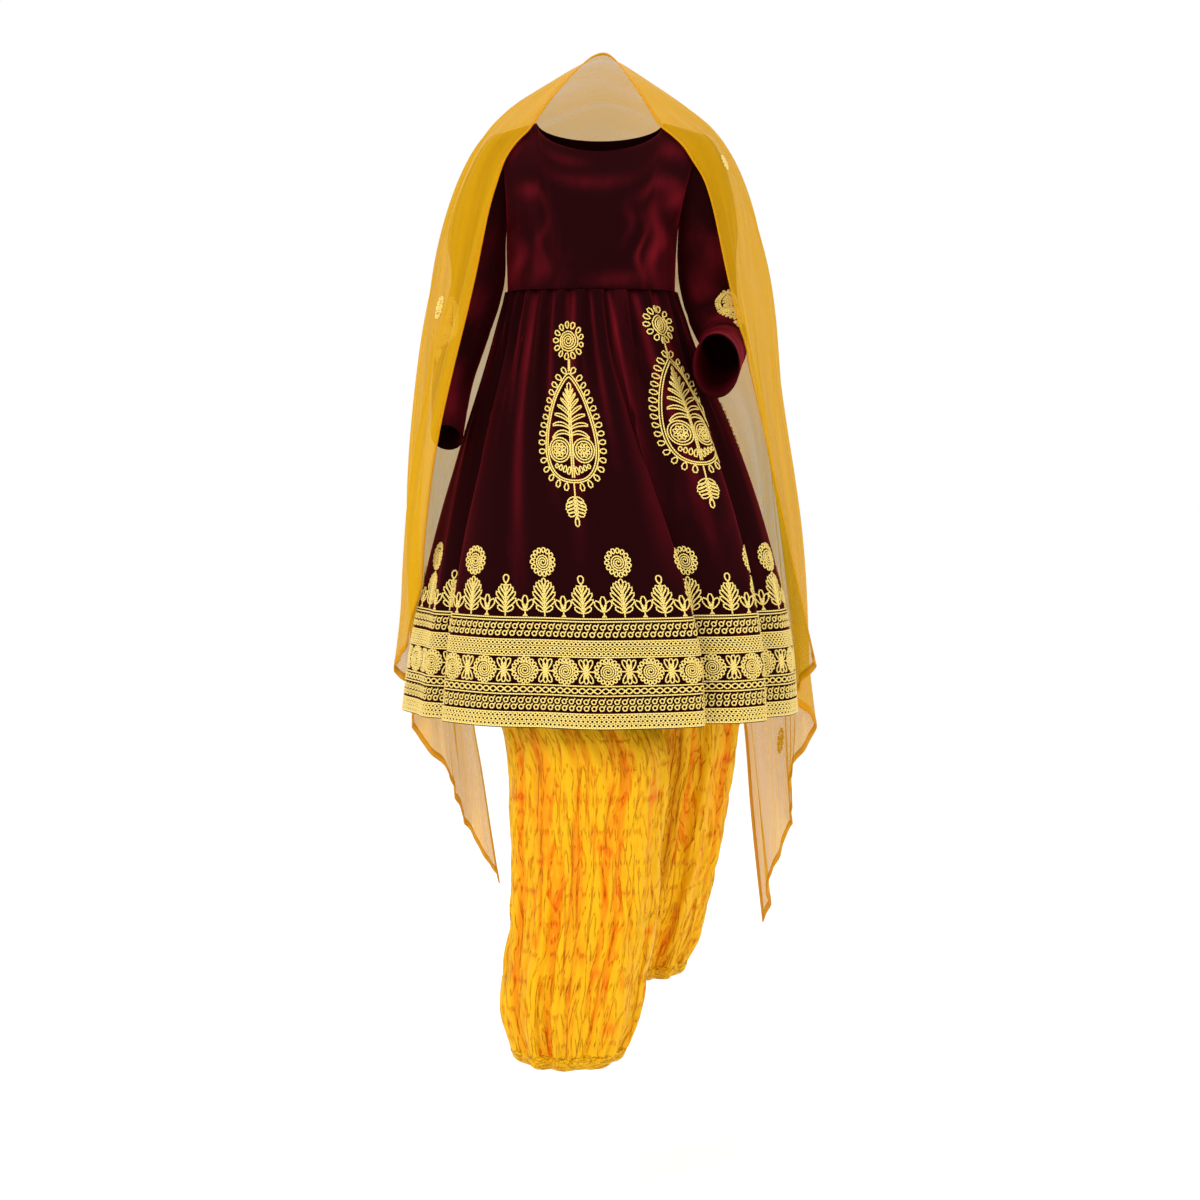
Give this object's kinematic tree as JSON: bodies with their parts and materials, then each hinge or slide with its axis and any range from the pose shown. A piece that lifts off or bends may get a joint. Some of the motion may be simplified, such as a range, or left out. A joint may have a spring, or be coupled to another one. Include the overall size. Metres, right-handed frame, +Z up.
{
  "type": "afghan three-piece dress",
  "caption": "Traditional Afghan dress set as worn: long-sleeved velvet frock with a gathered, gold-corded skirt, baggy satin trousers gathered at the ankles, and a sheer veil.",
  "frame": {"origin": "the middle of the neck opening at the height of the shoulder seams, where the wearer's neck holds the garment up", "axes": "+Z up; the wearer faces -Y, so the wearer's left arm is at +X"},
  "size_m": [0.6547, 0.5452, 1.4924],
  "materials": {
    "velvet": "dark maroon cotton velvet",
    "satin": "crinkled orange-yellow satin",
    "chiffon": "sheer golden yellow chiffon"
  },
  "bodies": {
    "root": {"bodice_front": "velvet", "bodice_back": "velvet", "skirt_front": "velvet", "skirt_back": "velvet", "sleeve_right": "velvet", "sleeve_left": "velvet", "trouser_right_leg": "satin", "trouser_left_leg": "satin", "trouser_waistband": "satin", "veil_crown": "chiffon", "veil_right_fall": "chiffon", "veil_left_fall": "chiffon"}
  },
  "joints": []
}
